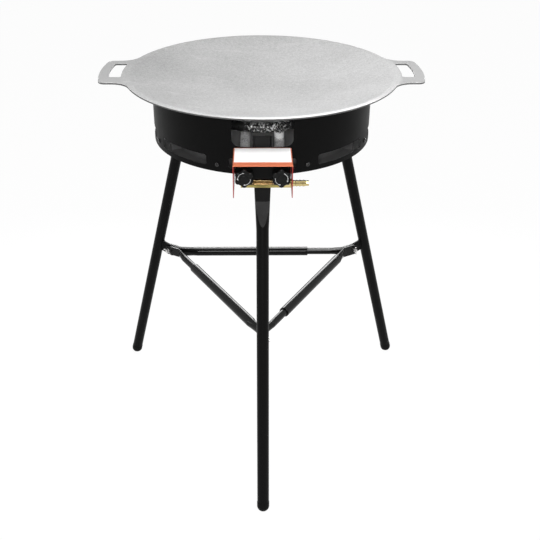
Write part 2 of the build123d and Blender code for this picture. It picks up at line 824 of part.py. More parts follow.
def cock_plug(x):
    """Turning plug in the cock, bored at the front for the spindle."""
    front = neck_front
    back = front + cock_plug_length
    socket_end = front + spindle_engaged + spindle_room
    plug = rod_y(cock_plug_radius, front, back, x, pipe_height)
    plug = plug - rod_y(spindle_radius + spindle_fit, front, socket_end, x, pipe_height)
    plug = plug - rod_z(port_bore, pipe_height - 2 * cock_plug_radius, pipe_height, x, manifold_place)
    return plug - rod_y(port_bore, manifold_place, back, x, pipe_height)


def spindle(x):
    back = neck_front + spindle_engaged
    return rod_y(spindle_radius, back - spindle_length, back, x, pipe_height)


def knob(x):
    """Lobed knob with a raised centre disc, hollow behind to clear the neck nut."""
    outline = Circle(knob_core_radius)
    lobe_circle = knob_radius - knob_lobe_radius
    for count in range(knob_lobes):
        lobe = Pos(0, lobe_circle) * Circle(knob_lobe_radius)
        outline = outline + Rot(0, 0, 360 / knob_lobes * count) * lobe
    body = extrude(Plane.XZ * outline, knob_length)
    body = fillet(body.faces().sort_by(Axis.Y)[0].edges(), knob_edge)
    body = Pos(x, knob_back, pipe_height) * body
    cap = rod_y(knob_cap_radius, knob_front - knob_cap_height, knob_front + knob_edge, x, pipe_height)
    cap = fillet(cap.edges().sort_by(Axis.Y)[0], knob_cap_height / 2)
    recess = rod_y(knob_recess_radius, knob_back - knob_recess_depth, knob_back, x, pipe_height)
    spindle_end = neck_front + spindle_engaged - spindle_length
    socket = rod_y(spindle_radius + press_gap, spindle_end - press_gap, knob_back, x, pipe_height)
    return body + cap - recess - socket


def jet(x):
    body = rod_y(jet_radius, cock_back, cock_back + jet_length, x, pipe_height)
    tip = rod_y(jet_tip_radius, cock_back + jet_length / 2, jet_end, x, pipe_height)
    return body + tip - rod_y(jet_bore, cock_back, jet_end, x, pipe_height)


def gas_manifold():
    """Hexagon bar, bored along its length from the hose end, with a port up to each cock."""
    half = manifold_length / 2
    bar = extrude(Plane.YZ * hexagon(manifold_flats), half, both=True)
    bar = bar - rod_x(manifold_bore, -half + manifold_end_wall, half, 0, 0)
    bar = Pos(0, manifold_place, manifold_height) * bar
    port_top = manifold_height + manifold_flats
    for sign in hand_signs.values():
        x = sign * cock_spacing / 2
        bar = bar - rod_z(port_bore, manifold_height, port_top, x, manifold_place)
    return bar


def hose_tail():
    """Hexagon collar against the manifold, then a row of barbs for the gas hose."""
    start = manifold_length / 2
    collar = extrude(Plane.YZ * hexagon(manifold_flats), tail_collar_length)
    first = start + tail_collar_length
    inside = first - tail_collar_length / 2
    points = [(inside, 0), (inside, barb_root_radius)]
    for count in range(barb_count):
        place = first + barb_pitch * count
        points.append((place, barb_root_radius))
        points.append((place, barb_radius))
    end = first + barb_pitch * barb_count
    points.append((end, barb_root_radius))
    points.append((end + barb_tip_length, barb_root_radius))
    points.append((end + barb_tip_length, 0))
    barbs = revolve(make_face(Polyline(*points, close=True)), Axis.X)
    tail = Pos(start, 0, 0) * collar + barbs
    tail = tail - rod_x(tail_bore, start, end + 2 * barb_tip_length, 0, 0)
    return Pos(0, manifold_place, manifold_height) * tail


def main():
    os.makedirs("parts", exist_ok=True)
    save("griddle_pan", griddle_pan())
    save("wind_shield", wind_shield())
    save("bottom_plate", bottom_plate())
    save("drum_screws", *drum_screws())
    save("outer_burner_ring", outer_burner_ring())
    save("inner_burner_ring", inner_burner_ring())
    save("outer_mixing_tube", outer_mixing_tube())
    save("inner_mixing_tube", inner_mixing_tube())
    for name, azimuth in arm_places.items():
        save(f"{name}_burner_arm", turned(burner_arm(), azimuth))
    for name, azimuth in leg_places.items():
        save(f"{name}_leg_bracket", turned(leg_bracket(), azimuth))
        save(f"{name}_pivot_bolt", *[turned(solid, azimuth) for solid in pivot_bolt()])
        save(f"{name}_leg", turned(leg(), azimuth))
        save(f"{name}_foot_cap", turned(foot_cap(), azimuth))
        save(f"{name}_leg_tab", turned(leg_tab(), azimuth))
        save(f"{name}_corner_bolt", turned(corner_bolt(wing_sides[name]), azimuth))
        save(f"{name}_wing_nut", turned(wing_nut(wing_sides[name], wing_turns[name]), azimuth))
    for name, azimuth in brace_places.items():
        save(f"{name}_brace_outer", turned(outer_brace(), azimuth))
        save(f"{name}_brace_inner", turned(inner_brace(), azimuth))
    save("control_shield", control_shield())
    save("label_plate", label_plate())
    save("control_plate", control_plate())
    save("shield_screws", *shield_screws())
    for name, sign in hand_signs.items():
        x = sign * cock_spacing / 2
        save(f"{name}_cock_body", cock_body(x))
        save(f"{name}_cock_nut", cock_nut(x))
        save(f"{name}_cock_plug", cock_plug(x))
        save(f"{name}_spindle", spindle(x))
        save(f"{name}_knob", knob(x))
        save(f"{name}_jet", jet(x))
    save("gas_manifold", gas_manifold())
    save("hose_tail", hose_tail())


main()
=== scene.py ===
"""Looks of the griddle pan, its ring burner and its tripod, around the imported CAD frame. Metres."""
import json
from math import cos, pi, radians, sin

import bmesh
import bpy
from mathutils import Matrix, Vector


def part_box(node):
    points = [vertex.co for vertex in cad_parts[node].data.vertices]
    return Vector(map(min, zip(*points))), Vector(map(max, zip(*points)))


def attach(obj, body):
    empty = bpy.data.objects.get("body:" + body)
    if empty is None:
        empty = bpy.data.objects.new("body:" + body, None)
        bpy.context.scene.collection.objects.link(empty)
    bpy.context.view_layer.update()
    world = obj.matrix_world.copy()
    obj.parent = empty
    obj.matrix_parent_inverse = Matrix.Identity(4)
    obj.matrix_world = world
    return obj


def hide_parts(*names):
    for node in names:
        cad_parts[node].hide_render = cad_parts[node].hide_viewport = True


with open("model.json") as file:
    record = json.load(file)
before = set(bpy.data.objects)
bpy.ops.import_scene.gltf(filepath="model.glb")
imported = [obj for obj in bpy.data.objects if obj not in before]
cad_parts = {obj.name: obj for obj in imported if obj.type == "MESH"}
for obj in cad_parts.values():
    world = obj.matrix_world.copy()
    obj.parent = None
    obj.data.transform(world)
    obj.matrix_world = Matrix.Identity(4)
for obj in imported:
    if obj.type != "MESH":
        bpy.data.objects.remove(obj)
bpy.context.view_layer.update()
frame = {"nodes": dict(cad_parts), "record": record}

# Read from the frame: the drum's axis on the floor, its radius, and each node's slot
drum_low, drum_high = (Vector(corner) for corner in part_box("wind_shield"))
axis = Vector(((drum_low.x + drum_high.x) / 2, (drum_low.y + drum_high.y) / 2, 0))
drum_radius = (drum_high.x - drum_low.x) / 2
slot_of = {row["node"]: row["material_slot"] for row in frame["record"]["subparts"]}

# Level of the even light around the object, and how far forward mirrors still see the backdrop
sky_level = 0.45
backdrop_start = -0.6
backdrop_end = -0.1

# Floor: half its side, its paint, and the share of plain white in what the camera sees of it
floor_half = 6.0
floor_level = 0.9
floor_white = 0.95

# Camera of the photograph, measured from the drum's axis
camera_place = axis + Vector((-0.0101, -1.72433, 1.3675))
camera_heading = radians(0.965)
camera_pitch = radians(30.158)
camera_roll = radians(0.275)
camera_lens = 56.742
sensor_width = 36.0


class Wire:
    """A socket of a finish. Arithmetic on it adds Math nodes."""

    def __init__(self, finish, socket):
        self.finish = finish
        self.socket = socket

    def maths(self, operation, *values):
        return self.finish.node("ShaderNodeMath", {"operation": operation}, dict(enumerate(values)))

    def __add__(self, other):
        return self.maths("ADD", self, other)

    def __sub__(self, other):
        return self.maths("SUBTRACT", self, other)

    def __rsub__(self, other):
        return self.maths("SUBTRACT", other, self)

    def __mul__(self, other):
        return self.maths("MULTIPLY", self, other)

    def at_most(self, other):
        return self.maths("MINIMUM", self, other)

    __radd__ = __add__
    __rmul__ = __mul__


class Tree:
    """A node tree built up node by node."""

    def __init__(self, tree):
        self.tree = tree

    def node(self, kind, settings=None, sockets=None, output=0):
        """Add a node: its settings first, then values or links of its sockets."""
        node = self.tree.nodes.new(kind)
        for key, value in (settings or {}).items():
            if key == "stops":
                self.set_stops(node.color_ramp, value)
            else:
                setattr(node, key, value)
        for key, value in (sockets or {}).items():
            self.feed(node.inputs[key], value)
        return None if output is None else Wire(self, node.outputs[output])

    @staticmethod
    def set_stops(ramp, stops):
        while len(ramp.elements) < len(stops):
            ramp.elements.new(0.5)
        for element, (place, colour) in zip(ramp.elements, stops):
            element.position = place
            element.color = colour

    def feed(self, socket, value):
        if isinstance(value, Wire):
            self.tree.links.new(value.socket, socket)
        else:
            socket.default_value = value


class Finish(Tree):
    """A material around one Principled shader."""

    def __init__(self, name, **constants):
        self.material = bpy.data.materials.new(name)
        self.material.use_nodes = True
        super().__init__(self.material.node_tree)
        self.shader = self.tree.nodes["Principled BSDF"]
        for socket, value in constants.items():
            self.shader.inputs[socket.replace("_", " ")].default_value = value

    def set(self, **wires):
        """Feed the shader's own sockets."""
        for socket, value in wires.items():
            self.feed(self.shader.inputs[socket.replace("_", " ")], value)

    def place(self, centre=(0, 0, 0), stretch=(1, 1, 1), turn=(0, 0, 0)):
        """Object coordinates, moved to a centre, turned and stretched."""
        coords = self.node("ShaderNodeTexCoord", output=3)
        moved = self.node(
            "ShaderNodeVectorMath", {"operation": "SUBTRACT"}, {0: coords, 1: centre}
        )
        return self.node(
            "ShaderNodeMapping", None, {"Vector": moved, "Rotation": turn, "Scale": stretch}
        )

    def radius(self, centre=axis):
        """Distance from an upright axis, the drum's if none is named."""
        flat = self.place(centre, (1, 1, 0))
        return self.node("ShaderNodeVectorMath", {"operation": "LENGTH"}, {0: flat}, 1)

    def height(self):
        """Height above the floor."""
        return self.node("ShaderNodeSeparateXYZ", None, {0: self.place()}, 2)

    def backward(self, turn):
        """Distance behind the drum's axis, after a turn about it."""
        turned = self.place(axis, turn=(0, 0, turn))
        return self.node("ShaderNodeSeparateXYZ", None, {0: turned}, 1)

    def noise(self, scale, detail=3.0, where=None, roughness=0.55):
        """Cloudy values about 0.5; scale is in clouds per metre."""
        where = where or self.place()
        return self.node(
            "ShaderNodeTexNoise",
            {"normalize": True},
            {"Vector": where, "Scale": scale, "Detail": detail, "Roughness": roughness},
        )

    def spread(self, value, low, high, to_low=0.0, to_high=1.0):
        """Values from low to high, carried over to another range and held at its ends."""
        return self.node(
            "ShaderNodeMapRange",
            {"clamp": True},
            {
                "Value": value,
                "From Min": low,
                "From Max": high,
                "To Min": to_low,
                "To Max": to_high,
            },
        )

    def cloudy(self, cloud, low, high):
        """The bulk of a noise, carried over to a range from low to high."""
        return self.spread(cloud, 0.3, 0.7, low, high)

    def mix(self, factor, first, second):
        """The first colour at 0, the second at 1."""
        return self.node(
            "ShaderNodeMix", {"data_type": "RGBA"}, {0: factor, 6: first, 7: second}, output=2
        )

    def bump(self, height, distance, strength=1.0, rounding=None):
        """Fine relief; rounding is the radius to which edges are shaded, where there is one."""
        sockets = {"Height": height, "Distance": distance, "Strength": strength}
        if rounding:
            sockets["Normal"] = self.node("ShaderNodeBevel", {"samples": 8}, {"Radius": rounding})
        self.feed(self.shader.inputs["Normal"], self.node("ShaderNodeBump", None, sockets))

    def edges(self, radius):
        """1 along convex edges, 0 on open faces."""
        bevel = self.node("ShaderNodeBevel", {"samples": 4}, {"Radius": radius})
        normal = self.node("ShaderNodeNewGeometry", output=1)
        alike = {"operation": "DOT_PRODUCT"}
        same = self.node("ShaderNodeVectorMath", alike, {0: bevel, 1: normal}, 1)
        return self.spread(same, 0.99, 0.8)


class Recipe(Tree):
    """A geometry tree with named inputs."""

    def __init__(self, name, **inputs):
        group = bpy.data.node_groups.new(name, "GeometryNodeTree")
        super().__init__(group)
        group.interface.new_socket("Geometry", in_out="INPUT", socket_type="NodeSocketGeometry")
        self.names = {}
        for key, kind in inputs.items():
            socket = group.interface.new_socket(key, in_out="INPUT", socket_type=kind)
            self.names[key] = socket.identifier
        group.interface.new_socket("Geometry", in_out="OUTPUT", socket_type="NodeSocketGeometry")
        self.entry = group.nodes.new("NodeGroupInput")
        self.exit = group.nodes.new("NodeGroupOutput")

    def input(self, name):
        """The tree's own input of that name."""
        return Wire(self, self.entry.outputs[name])

    def end(self, geometry, finish):
        """Real faces with their finish."""
        real = self.node("GeometryNodeRealizeInstances", None, {0: geometry})
        coated = self.node("GeometryNodeSetMaterial", None, {"Geometry": real, "Material": finish})
        self.feed(self.exit.inputs[0], coated)

    def modifier(self, **values):
        """The (kind, settings) pair that runs this tree with its inputs set."""
        inputs = {self.names[key]: value for key, value in values.items()}
        return "NODES", {"node_group": self.tree} | inputs


def grey(level, warmth=0.0):
    """A grey of some level; warmth tips it to yellow-red."""
    return (level * (1 + warmth), level, level * (1 - warmth), 1.0)


# The pan's flat rim, measured from the drum's axis
rim_start = 0.271
rim_end = 0.282

# The pan is painted paler towards its front right as painted light, the front of its rim carries a
# painted highlight, and its rubbed arcs lie a little askew
lit_side_turn = radians(-45)
lit_side_reach = 0.25
rim_highlight_turn = radians(-22)
rim_highlight_start = -0.22
rim_highlight_end = -0.255
rub_turn = (0, 0, radians(-12))


def blasted_steel():
    """Bare pressed steel after grit blasting: fine pale grain, rubbed arcs, painted light towards the
    front right, a painted highlight on the front of the rim and painted shade on the rim's side
    faces.
    """
    finish = Finish("blasted_steel", Metallic=0.1, Specular_IOR_Level=0.06)
    grain = finish.noise(420, 2)
    fleck = finish.noise(170, 3)
    cloud = finish.noise(6, 4)
    rubbed = finish.noise(9, 3, finish.place(axis, (1.0, 5.0, 1.0), rub_turn))
    arcs = finish.spread(rubbed, 0.62, 0.8)
    tone = 0.45 * grain + 0.3 * fleck + 0.25 * cloud
    radius = finish.radius()
    rim = finish.spread(radius, rim_start - 0.004, rim_start + 0.002)
    handle = finish.spread(radius, rim_end, rim_end + 0.008)
    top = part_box("griddle_pan")[1][2]
    outside = finish.spread(radius, rim_start + 0.002, rim_start + 0.004)
    # Painted shade: the side faces and undersides of the rim and handles darkened
    cut = finish.spread(finish.height(), top - 0.0004, top - 0.0012) * outside
    # Painted light: the pan's colour paler towards the front right
    near = finish.spread(finish.backward(lit_side_turn), lit_side_reach, -lit_side_reach)
    # Painted highlight on the front of the rim's outer part
    rim_highlight = finish.spread(finish.backward(rim_highlight_turn), rim_highlight_start, rim_highlight_end)
    mottle = finish.spread(tone, 0.38, 0.62)
    dark = finish.mix(near, grey(0.31), grey(0.48))
    pale = finish.mix(near, grey(0.48), grey(0.7))
    base = finish.mix(mottle, dark, pale)
    base = finish.mix(arcs * 0.35, base, grey(0.7))
    base = finish.mix(rim * 0.08, base, grey(0.68))
    base = finish.mix(outside * rim_highlight, base, grey(0.8))
    base = finish.mix(handle * 0.7, base, grey(0.41))
    finish.set(
        Base_Color=finish.mix(cut, base, grey(0.08)),
        Roughness=finish.cloudy(fleck, 0.6, 0.75) - rim * 0.08,
    )
    finish.bump(0.6 * grain + 0.4 * fleck, 0.0006, 0.5, 0.0012)
    return finish.material


def black_paint():
    """Semi-matt stove paint on the legs and small plates."""
    finish = Finish("black_paint", Specular_IOR_Level=0.06)
    peel = finish.noise(700, 2)
    cloud = finish.noise(9, 4)
    rub = finish.edges(0.0012)
    finish.set(
        Base_Color=finish.mix(rub * 0.4 * cloud, grey(0.003), grey(0.05)),
        Roughness=finish.cloudy(cloud, 0.3, 0.42),
    )
    finish.bump(peel, 0.0002, 0.25)
    return finish.material


# Painted shade lies on the outer part of the bottom plate, next to the drum's wall
wall_shade_start = 0.165
wall_shade_end = 0.195


def drum_black():
    """The drum's paint: deep black outside, grey inside, with painted shade on the bottom plate's
    outer part next to the wall.
    """
    finish = Finish("drum_black", Specular_IOR_Level=0.045)
    peel = finish.noise(700, 2)
    cloud = finish.noise(12, 4)
    inside = finish.spread(finish.radius(), drum_radius - 0.0005, drum_radius - 0.001)
    # Painted shade near the drum's wall
    wall_shade = finish.spread(finish.radius(), wall_shade_start, wall_shade_end)
    inside_grey = finish.mix(cloud, grey(0.2), grey(0.28))
    inside_grey = finish.mix(wall_shade, inside_grey, grey(0.07))
    finish.set(
        Base_Color=finish.mix(inside, grey(0.003), inside_grey),
        Roughness=finish.cloudy(cloud, 0.36, 0.48),
    )
    finish.bump(peel, 0.0002, 0.2)
    return finish.material


def gloss_paint(name, gloss):
    """Gloss black on tube; gloss is the greatest share of its clear coat."""
    finish = Finish(name, Specular_IOR_Level=0.05, Coat_Roughness=0.06)
    cloud = finish.noise(14, 4)
    peel = finish.noise(500, 2)
    rub = finish.edges(0.001)
    base = finish.mix(rub * 0.4 * cloud, grey(0.003), grey(0.05))
    finish.set(
        Base_Color=base,
        Roughness=finish.cloudy(cloud, 0.16, 0.24),
        Coat_Weight=finish.cloudy(cloud, 0.75 * gloss, gloss),
    )
    finish.bump(peel, 0.0002, 0.1, 0.005)
    return finish, base


def black_gloss():
    """Glossy black of the brace tubes."""
    return gloss_paint("black_gloss", 0.32)[0].material


def highlit_gloss(name, start, full):
    """The rear brace: the same black with a painted highlight along its top, none at start and
    strongest at full above its axis.
    """
    finish, base = gloss_paint(name, 0.12)
    middle = joint_row("rear_brace_pivot")["pos_m"][2]
    # Painted highlight: paler along the top of each tube
    top_highlight = finish.spread(finish.height(), middle + start, middle + full)
    finish.set(Base_Color=finish.mix(top_highlight, base, grey(0.2)))
    return finish.material


def dusty_outer():
    """The rear brace's thick tube."""
    return highlit_gloss("dusty_outer", 0.0088, 0.0104)


def dusty_inner():
    """The rear brace's thin tube."""
    return highlit_gloss("dusty_inner", 0.0036, 0.006)


def orange_paint():
    """Red-orange powder coat on the control shield: deep red on its sides as painted shade, paler on
    its top as painted light.
    """
    finish = Finish("orange_paint", Specular_IOR_Level=0.2)
    peel = finish.noise(1100, 2)
    cloud = finish.noise(25, 3)
    rub = finish.edges(0.0008)
    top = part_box("control_shield")[1][2]
    # Painted shade and light: deep red below, paler on the top as if brightly lit
    lit_top = finish.spread(finish.height(), top - 0.003, top - 0.001)
    base = finish.mix(cloud, (0.2, 0.012, 0.012, 1), (0.26, 0.018, 0.016, 1))
    base = finish.mix(lit_top, base, (0.6, 0.17, 0.085, 1))
    finish.set(
        Base_Color=finish.mix(rub * 0.1, base, (0.6, 0.2, 0.12, 1)),
        Roughness=finish.cloudy(cloud, 0.28, 0.38),
    )
    finish.bump(peel, 0.0002, 0.2)
    return finish.material


def label_white():
    """Plain white plate, no print."""
    finish = Finish("label_white", Specular_IOR_Level=0.3)
    cloud = finish.noise(60, 3)
    finish.set(
        Base_Color=finish.mix(cloud, grey(0.9), grey(0.94)),
        Roughness=finish.cloudy(cloud, 0.35, 0.45),
    )
    return finish.material


def zinc_steel():
    """Bright zinc on screws, bolts and nuts."""
    finish = Finish("zinc_steel", Metallic=1.0)
    cloud = finish.noise(180, 4)
    finish.set(
        Base_Color=finish.mix(cloud, grey(0.5, -0.02), grey(0.74, 0.03)),
        Roughness=finish.cloudy(cloud, 0.22, 0.4),
    )
    return finish.material


# Heights on the bent mixing tube: a painted highlight at the start of its bend, scaled black above
bend_highlight_start = 0.7455
scale_start = 0.7525


def pipe_steel():
    """Bare spangled steel of the mixing tubes, scaled by heat where one rises to its ring, with a
    painted highlight where its bend begins.
    """
    finish = Finish("pipe_steel", Metallic=0.15)
    fleck = finish.noise(420, 4, roughness=0.65)
    tone = 0.75 * fleck + 0.25 * finish.noise(42, 3)
    height = finish.height()
    # Painted highlight at the start of the bend
    bend_highlight = finish.spread(height, bend_highlight_start, bend_highlight_start + 0.002)
    scaled = finish.spread(height, scale_start, scale_start + 0.002)
    base = finish.mix(finish.spread(tone, 0.42, 0.58), grey(0.42), grey(0.85))
    base = finish.mix(bend_highlight, base, grey(0.95))
    flecked = finish.mix(finish.spread(fleck, 0.53, 0.6), grey(0.012), grey(0.85))
    finish.set(
        Base_Color=finish.mix(scaled, base, flecked),
        Roughness=finish.spread(fleck, 0.35, 0.65, 0.22, 0.5),
    )
    finish.bump(fleck, 0.001, 0.6)
    return finish.material


# Where the rings' scale has come off, measured from the drum's axis
worn_spot = Vector((0.012, -0.106, 0))
worn_reach = 0.05


def ring_steel():
    """Black scaled steel of the burner rings, flecked by the cut-out, where the scale is off."""
    finish = Finish("ring_steel", Metallic=0.15)
    fleck = finish.noise(230, 4, roughness=0.65)
    worn = finish.spread(finish.radius(axis + worn_spot), worn_reach, worn_reach * 0.7)
    finish.set(
        Base_Color=finish.mix(finish.spread(fleck, 0.53, 0.6) * worn, grey(0.012), grey(0.85)),
        Roughness=finish.spread(fleck, 0.35, 0.65, 0.22, 0.5),
    )
    finish.bump(fleck, 0.001, 0.6)
    return finish.material


def brass_metal(name, base):
    """Turned brass; base gives its colour from the finish and its cloudiness."""
    finish = Finish(name, Metallic=1.0)
    cloud = finish.noise(90, 4)
    turned = finish.noise(300, 2, finish.place(stretch=(6, 1, 1)))
    finish.set(
        Base_Color=base(finish, cloud),
        Roughness=finish.cloudy(turned, 0.12, 0.22),
    )
    finish.bump(turned, 0.0002, 0.2)
    return finish.material


def clean_brass(finish, cloud):
    """Yellow, a little paler in patches."""
    return finish.mix(cloud, (0.5, 0.4, 0.17, 1), (0.7, 0.58, 0.3, 1))


# Share of the bar's height, colour: heat stains and painted reflections, pale bands for painted
# highlights, dark for painted shade
stain_and_reflection_bands = [
    (0.0, (0.5, 0.42, 0.15, 1)),
    (0.42, (0.42, 0.35, 0.11, 1)),
    (0.5, (0.09, 0.07, 0.012, 1)),
    (0.57, (0.25, 0.16, 0.075, 1)),
    (0.7, (0.2, 0.12, 0.05, 1)),
    (0.77, (0.035, 0.016, 0.004, 1)),
    (0.92, (0.06, 0.03, 0.007, 1)),
    (0.97, (0.35, 0.26, 0.13, 1)),
]


def stain_and_reflection_colour(finish, cloud):
    """Heat stains and painted reflections in bands along the bar, from its lower edge up."""
    low, high = (corner[2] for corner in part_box("gas_manifold"))
    # Heat stains with painted reflections: pale bands are painted highlights, dark bands painted
    # shade
    share = finish.spread(finish.height(), low, high)
    stain_and_reflection = finish.node("ShaderNodeValToRGB", {"stops": stain_and_reflection_bands}, {0: share})
    return finish.mix(0.12 * cloud, stain_and_reflection, (0.3, 0.22, 0.09, 1))


def brass():
    """Bright turned brass."""
    return brass_metal("brass", clean_brass)


def stained_brass():
    """Brass browned by heat and painted with the reflections of its faces, on the manifold bar."""
    return brass_metal("stained_brass", stain_and_reflection_colour)


def smooth_black(name, shine, scale):
    """Smooth black; shine is its specular level, scale that of its clouds."""
    finish = Finish(name, Specular_IOR_Level=shine)
    cloud = finish.noise(scale, 3)
    finish.set(
        Base_Color=finish.mix(cloud, grey(0.003), grey(0.008)),
        Roughness=finish.cloudy(cloud, 0.1, 0.18),
    )
    return finish.material


def knob_plastic():
    """Gloss black moulded plastic."""
    return smooth_black("knob_plastic", 0.1, 150)


def screw_black():
    """Oiled black steel of the drum's screws, which glints."""
    return smooth_black("screw_black", 0.5, 300)


def mark_white():
    """White print on the knobs."""
    finish = Finish("mark_white", Specular_IOR_Level=0.4)
    cloud = finish.noise(900, 2)
    finish.set(
        Base_Color=finish.mix(cloud, grey(0.3), grey(0.5)),
        Roughness=finish.cloudy(cloud, 0.4, 0.5),
    )
    return finish.material


def foot_plastic():
    """Black plastic of the foot caps."""
    finish = Finish("foot_plastic", Specular_IOR_Level=0.06)
    grain = finish.noise(1600, 2)
    finish.set(
        Base_Color=finish.mix(grain, grey(0.002), grey(0.004)),
        Roughness=finish.cloudy(grain, 0.4, 0.55),
    )
    finish.bump(grain, 0.0002, 0.4)
    return finish.material


# Nodes whose surface differs from the rest of their slot
special_finish = {
    "wind_shield": "drum_black",
    "bottom_plate": "drum_black",
    "left_burner_arm": "drum_black",
    "rear_burner_arm": "drum_black",
    "right_burner_arm": "drum_black",
    "outer_burner_ring": "ring_steel",
    "inner_burner_ring": "ring_steel",
    "gas_manifold": "stained_brass",
    "rear_brace_outer": "dusty_outer",
    "rear_brace_inner": "dusty_inner",
}


def dress_nodes():
    """Make every finish and put each on the CAD nodes that have it."""
    makers = (
        blasted_steel,
        black_paint,
        drum_black,
        black_gloss,
        dusty_outer,
        dusty_inner,
        orange_paint,
        label_white,
        zinc_steel,
        pipe_steel,
        ring_steel,
        brass,
        stained_brass,
        knob_plastic,
        foot_plastic,
        screw_black,
        mark_white,
    )
    finishes = {maker.__name__: maker() for maker in makers}
    for name, node in frame["nodes"].items():
        for place in node.material_slots:
            place.material = finishes[special_finish.get(name, slot_of[name])]
    return finishes


def joint_row(name):
    """The record's row of a joint."""
    return next(row for row in frame["record"]["behaviour"]["joints"] if row["name"] == name)


# Faces that meet at more than this stay sharp
sharp_angle = radians(38)


def add_piece(name, mesh, finish, body, *replaced):
    """Put a finished mesh in the scene on its body, smooth except at real edges."""
    mesh.materials.clear()
    mesh.materials.append(finishes[finish])
    mesh.shade_smooth()
    mesh.set_sharp_from_angle(angle=sharp_angle)
    piece = bpy.data.objects.new(name, mesh)
    bpy.context.scene.collection.objects.link(piece)
    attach(piece, body)
    if replaced:
        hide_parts(*replaced)


def mesh_of(name, work, matrix=None):
    """A plain mesh from a bmesh, merged, with its faces outwards."""
    if matrix:
        bmesh.ops.transform(work, matrix=matrix, verts=work.verts)
    bmesh.ops.remove_doubles(work, verts=work.verts, dist=1e-6)
    bmesh.ops.recalc_face_normals(work, faces=work.faces)
    mesh = bpy.data.meshes.new(name)
    work.to_mesh(mesh)
    work.free()
    return mesh


def evaluated(name, mesh, *modifiers):
    """The mesh after a list of modifiers, each a (kind, settings) pair."""
    helper = bpy.data.objects.new(name + "_helper", mesh)
    bpy.context.scene.collection.objects.link(helper)
    for kind, settings in modifiers:
        modifier = helper.modifiers.new(kind.lower(), kind)
        for key, value in settings.items():
            if key in modifier.bl_rna.properties:
                setattr(modifier, key, value)
            else:
                modifier[key] = value
    ready = helper.evaluated_get(bpy.context.evaluated_depsgraph_get())
    result = bpy.data.meshes.new_from_object(ready)
    result.name = name
    bpy.data.objects.remove(helper)
    return result


def lathe(work, profile, steps=48):
    """Turn a profile of (radius, height) points about Z."""
    rings = []
    for radius, height in profile:
        ring = []
        for step in range(steps):
            angle = 2 * pi * step / steps
            ring.append(work.verts.new((radius * cos(angle), radius * sin(angle), height)))
        rings.append(ring)
    for low, high in zip(rings, rings[1:]):
        for step in range(steps):
            after = (step + 1) % steps
            work.faces.new((low[step], low[after], high[after], high[step]))


def slab(work, outline, low, high):
    """A flat outline in XZ given thickness along Y."""
    near = [work.verts.new((x, low, z)) for x, z in outline]
    far = [work.verts.new((x, high, z)) for x, z in outline]
    work.faces.new(near)
    work.faces.new(far[::-1])
    count = len(outline)
    for step in range(count):
        after = (step + 1) % count
        work.faces.new((near[step], near[after], far[after], far[step]))


def rounded(points, steps=4):
    """A closed outline softened by a Catmull-Rom curve through its points."""
    count = len(points)
    soft = []
    for index in range(count):
        before, start, end, after = (
            Vector(points[(index + shift) % count]) for shift in (-1, 0, 1, 2)
        )
        for step in range(steps):
            t = step / steps
            soft.append(
                0.5
                * (
                    2 * start
                    + (end - before) * t
                    + (2 * before - 5 * start + 4 * end - after) * t * t
                    + (3 * start - before - 3 * end + after) * t**3
                )
            )
    return [(point.x, point.y) for point in soft]


# Wing nuts: a coned hub and two upswept ears
nut_hub = [
    (0.0031, 0.0),
    (0.0052, 0.0),
    (0.0052, 0.001),
    (0.0043, 0.007),
    (0.0031, 0.007),
    (0.0031, 0.0),
]
nut_ear = [
    (0.0036, 0.0016),
    (0.0058, 0.0018),
    (0.0084, 0.0034),
    (0.0103, 0.0062),
    (0.0104, 0.0085),
    (0.0089, 0.0089),
    (0.0071, 0.0075),
    (0.0054, 0.0064),
    (0.0036, 0.0062),
]
nut_ear_half = 0.0011
nut_bevel = {"width": 0.0004, "segments": 2, "limit_method": "ANGLE", "angle_limit": radians(50)}


def nut_matrix(row, node):
    """Z along the bolt towards the nut, X along its ears; the origin is where the nut seats."""
    along = Vector(row["axis"]).normalized()
    start = Vector(row["pos_m"])
    offsets = [vertex.co - start for vertex in frame["nodes"][node].data.vertices]
    seat = min(offset.dot(along) for offset in offsets)
    spokes = [offset - along * offset.dot(along) for offset in offsets]
    longest = max(spokes, key=lambda spoke: spoke.length)
    tip = [spoke for spoke in spokes if spoke.dot(longest) > 0.9 * longest.length_squared]
    ear = sum(tip, Vector()).normalized()
    turn = Matrix((ear, along.cross(ear), along)).transposed().to_4x4()
    return Matrix.Translation(start + along * seat) @ turn


def wing_nuts():
    """A turned and winged nut in place of each plain one."""
    for corner in ("front", "right", "left"):
        node = f"{corner}_wing_nut"
        work = bmesh.new()
        lathe(work, nut_hub)
        outline = rounded(nut_ear)
        slab(work, outline, -nut_ear_half, nut_ear_half)
        slab(work, [(-x, z) for x, z in outline], -nut_ear_half, nut_ear_half)
        mesh = mesh_of(node, work, nut_matrix(joint_row(f"{corner}_wing_nut_turn"), node))
        mesh = evaluated(node, mesh, ("BEVEL", nut_bevel))
        add_piece(f"{node}_winged", mesh, "zinc_steel", f"{corner}_nut", node)


# Knob arrows: two curved arrows in relief on each face, degrees from the right, counter-clockwise
knob_disc_step = 0.0012
arrow_radius = 0.0116
arrow_half_width = 0.00036
arrow_head_half = 0.0015
arrow_head_turn = radians(17)
arrow_thick = 0.00018
arrow_steps = 14
knob_arrows = {"left": ((90, 195), (0, -97)), "right": ((70, -32), (171, 265))}


